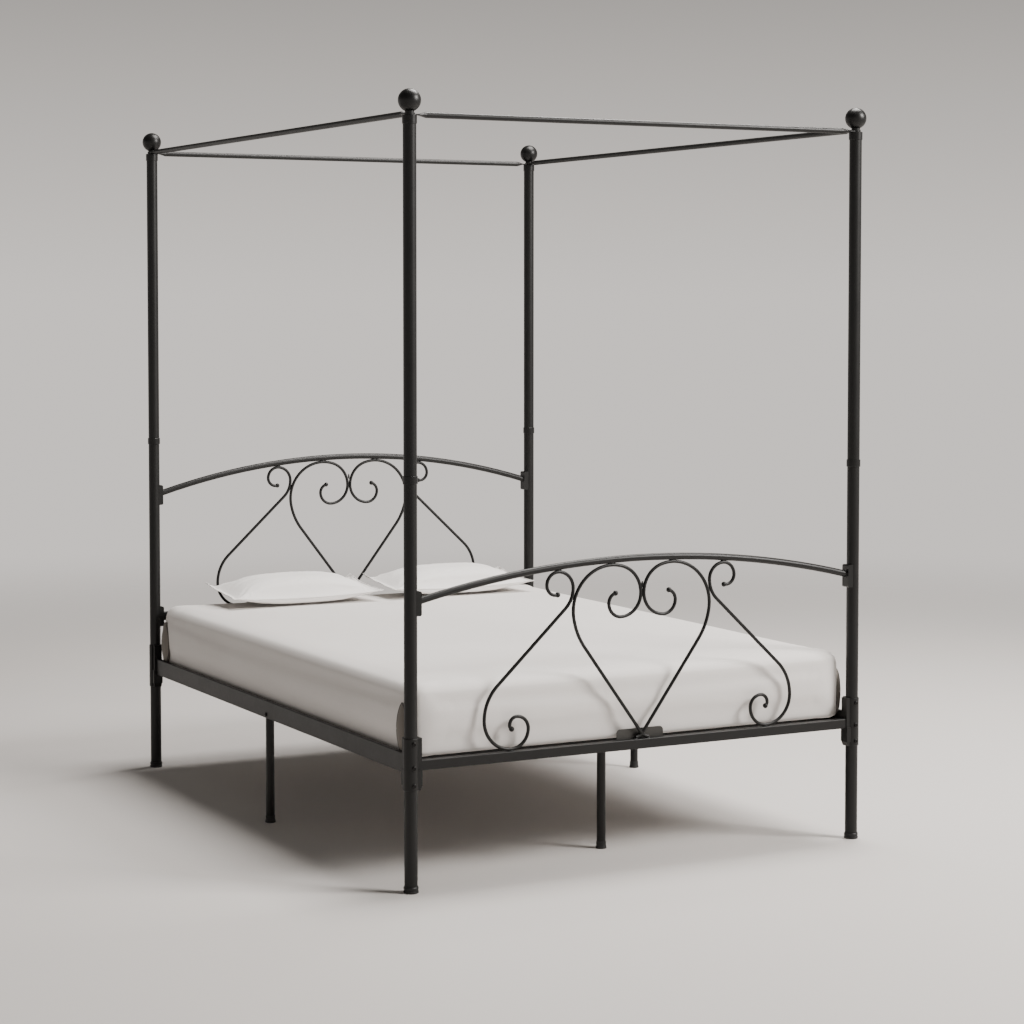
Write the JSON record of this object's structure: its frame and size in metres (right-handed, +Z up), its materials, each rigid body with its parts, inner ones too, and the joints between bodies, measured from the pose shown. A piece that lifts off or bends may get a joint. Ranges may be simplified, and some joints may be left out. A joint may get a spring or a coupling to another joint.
{
  "type": "four poster canopy bed",
  "caption": "Black metal four poster bed with ball finials, canopy rails, arched head and foot boards with heart and scroll rods, mattress and pillows.",
  "frame": {"origin": "on the floor under the middle of the bed", "axes": "+X to the right seen from the foot end, +Y from the foot end to the head end, +Z up"},
  "size_m": [1.452, 2.007, 2.077],
  "materials": {
    "black_powder_coat": "satin black powder coat",
    "black_bolts": "black oxide",
    "black_plastic": "matt black moulded caps",
    "mattress_cover": "off-white knitted cover",
    "pillow_cotton": "white woven cotton"
  },
  "bodies": {
    "frame": {"lower_post_foot_left": "black_powder_coat", "canopy_post_foot_left": "black_powder_coat", "post_joint_collar_foot_left": "black_powder_coat", "post_top_cap_foot_left": "black_powder_coat", "ball_finial_foot_left": "black_powder_coat", "corner_bracket_foot_left": "black_powder_coat", "lower_post_foot_right": "black_powder_coat", "canopy_post_foot_right": "black_powder_coat", "post_joint_collar_foot_right": "black_powder_coat", "post_top_cap_foot_right": "black_powder_coat", "ball_finial_foot_right": "black_powder_coat", "corner_bracket_foot_right": "black_powder_coat", "lower_post_head_left": "black_powder_coat", "canopy_post_head_left": "black_powder_coat", "post_joint_collar_head_left": "black_powder_coat", "post_top_cap_head_left": "black_powder_coat", "ball_finial_head_left": "black_powder_coat", "corner_bracket_head_left": "black_powder_coat", "lower_post_head_right": "black_powder_coat", "canopy_post_head_right": "black_powder_coat", "post_joint_collar_head_right": "black_powder_coat", "post_top_cap_head_right": "black_powder_coat", "ball_finial_head_right": "black_powder_coat", "corner_bracket_head_right": "black_powder_coat", "canopy_rail_foot": "black_powder_coat", "canopy_rail_head": "black_powder_coat", "canopy_rail_left": "black_powder_coat", "canopy_rail_right": "black_powder_coat", "footboard_arch_tube": "black_powder_coat", "footboard_saddles": "black_powder_coat", "footboard_heart_scroll_left": "black_powder_coat", "footboard_side_scroll_left": "black_powder_coat", "footboard_heart_scroll_right": "black_powder_coat", "footboard_side_scroll_right": "black_powder_coat", "headboard_arch_tube": "black_powder_coat", "headboard_saddles": "black_powder_coat", "headboard_heart_scroll_left": "black_powder_coat", "headboard_side_scroll_left": "black_powder_coat", "headboard_heart_scroll_right": "black_powder_coat", "headboard_side_scroll_right": "black_powder_coat", "foot_rail": "black_powder_coat", "head_rail": "black_powder_coat", "side_rail_left": "black_powder_coat", "side_rail_right": "black_powder_coat", "centre_rail": "black_powder_coat", "cross_slats": "black_powder_coat", "side_leg_left": "black_powder_coat", "side_leg_right": "black_powder_coat", "centre_leg_foot": "black_powder_coat", "centre_leg_head": "black_powder_coat", "mattress_stop_plate": "black_powder_coat", "frame_bolts": "black_bolts", "post_foot_cap_foot_left": "black_plastic", "post_foot_cap_foot_right": "black_plastic", "post_foot_cap_head_left": "black_plastic", "post_foot_cap_head_right": "black_plastic", "leg_caps": "black_plastic"},
    "mattress": {"mattress": "mattress_cover"},
    "pillow_left": {"pillow_left": "pillow_cotton"},
    "pillow_right": {"pillow_right": "pillow_cotton"}
  },
  "joints": [
    {"name": "mattress_lift", "type": "slide", "parent": "frame", "child": "mattress", "axis": [0, 0, 1], "range_m": [0, 0.7]},
    {"name": "pillow_left_lift", "type": "slide", "parent": "mattress", "child": "pillow_left", "axis": [0, 0, 1], "range_m": [0, 0.3]},
    {"name": "pillow_right_lift", "type": "slide", "parent": "mattress", "child": "pillow_right", "axis": [0, 0, 1], "range_m": [0, 0.3]}
  ]
}
